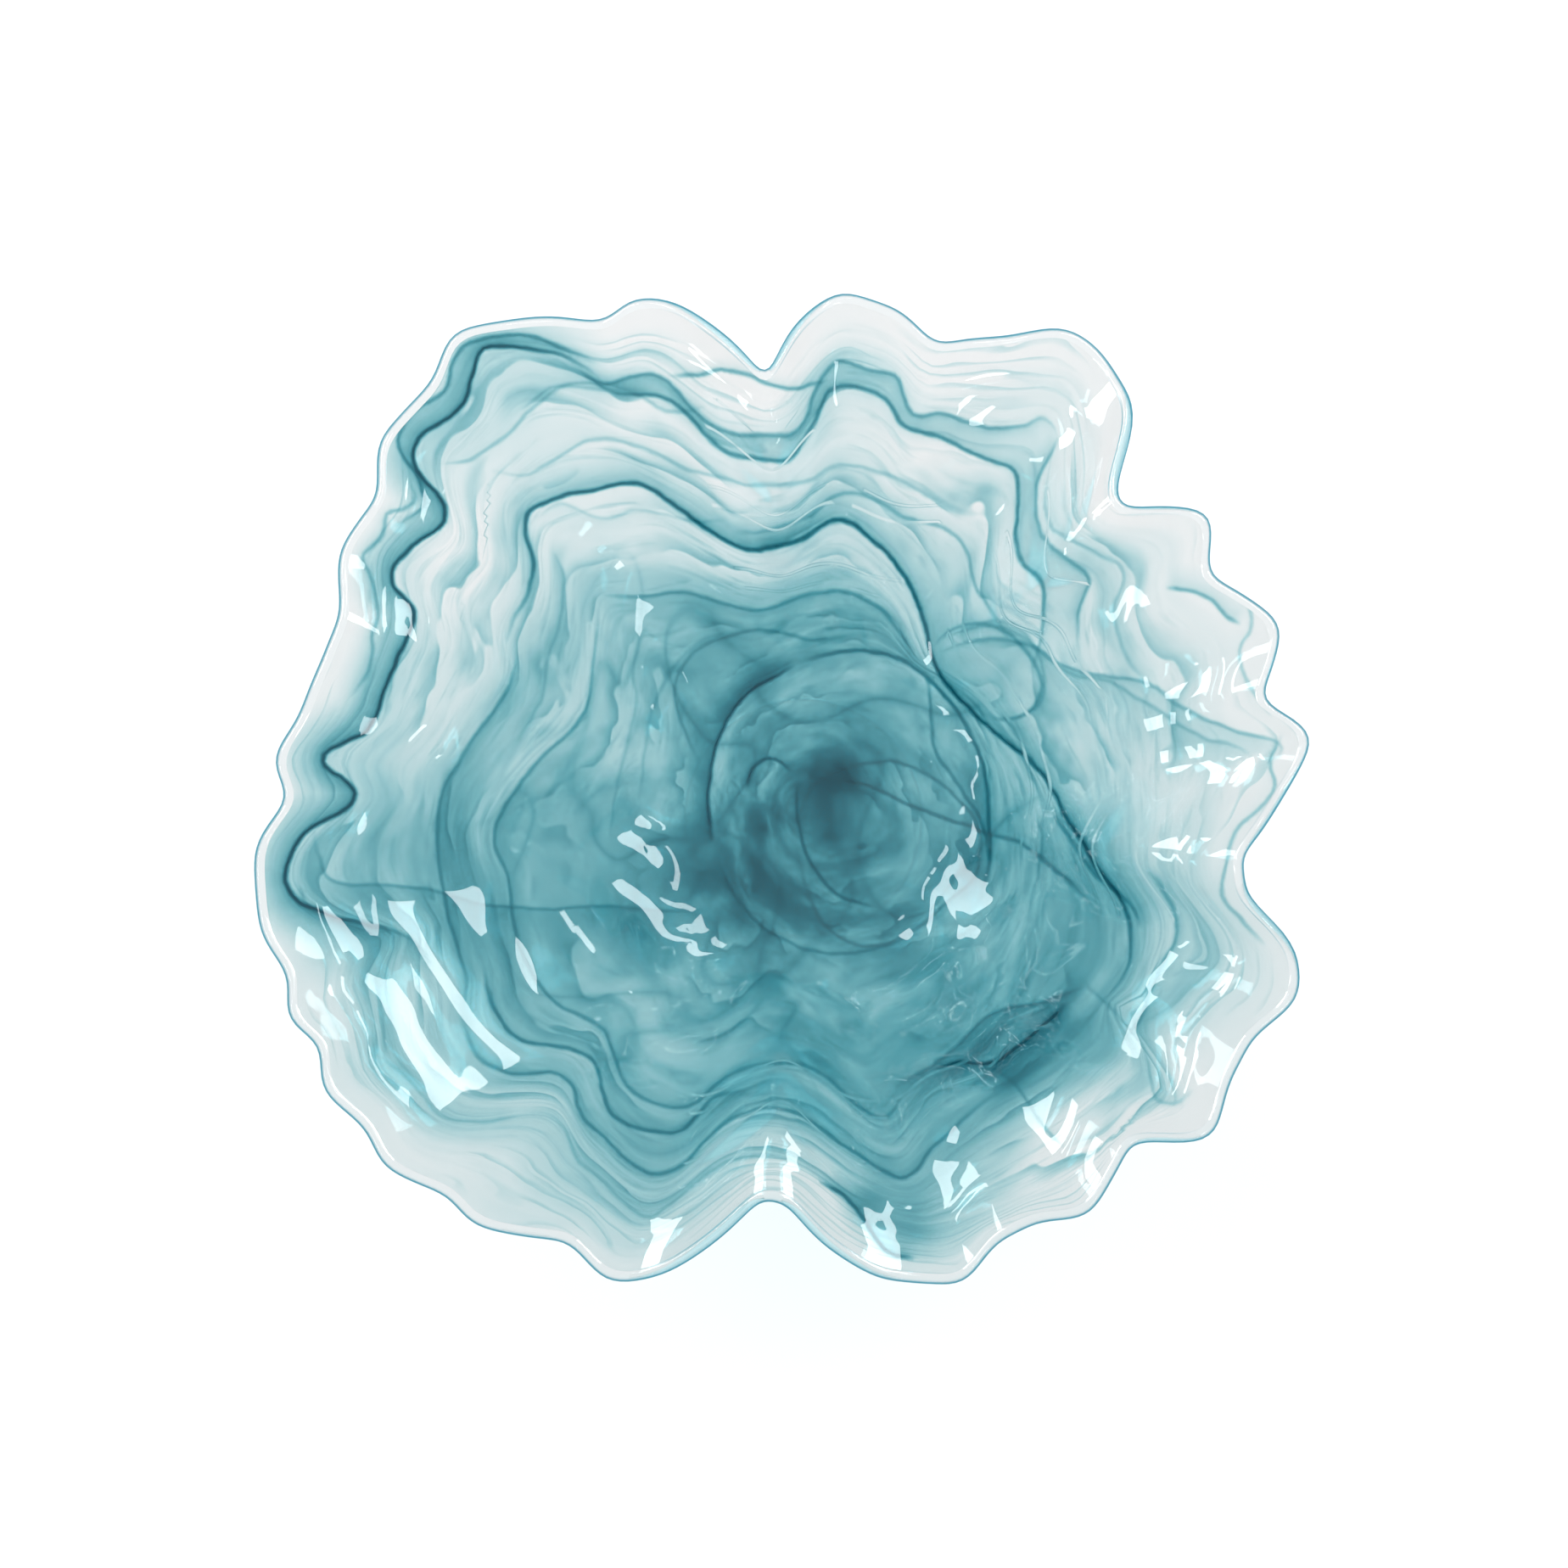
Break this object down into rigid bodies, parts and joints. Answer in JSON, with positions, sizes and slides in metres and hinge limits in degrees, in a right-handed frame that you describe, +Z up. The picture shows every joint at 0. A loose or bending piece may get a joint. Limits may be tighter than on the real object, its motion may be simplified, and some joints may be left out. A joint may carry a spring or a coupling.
{
  "type": "art glass bowl",
  "caption": "Wide free-form blown glass bowl with a ruffled clear lip, banded teal colour between clear layers, and a flat foot.",
  "frame": {"origin": "centre of the foot pad's ground face, on the surface that the bowl stands on", "axes": "+Z up out of the bowl's mouth, +X along the long way across the rim, +Y towards the deepest fold of the rim"},
  "size_m": [0.4132, 0.3888, 0.1254],
  "materials": {
    "clear_glass": "fire-polished clear glass",
    "margin_glass": "clear glass with a faint milky cast",
    "pale_aqua_glass": "pale aqua streaked glass",
    "veil_teal_glass": "smoky teal streaked glass",
    "trail_teal_glass": "dark teal glass trail",
    "deep_teal_glass": "deep teal glass pool"
  },
  "bodies": {
    "root": {"inner_gather": "clear_glass", "clear_casing": "clear_glass", "lip_bead": "clear_glass", "foot_pad": "clear_glass", "core_pool": "deep_teal_glass", "core_trail": "trail_teal_glass", "inner_veil": "veil_teal_glass", "inner_trail": "trail_teal_glass", "middle_veil": "veil_teal_glass", "middle_trail": "trail_teal_glass", "outer_veil": "pale_aqua_glass", "outer_trail": "trail_teal_glass", "clear_margin": "margin_glass"}
  },
  "joints": []
}
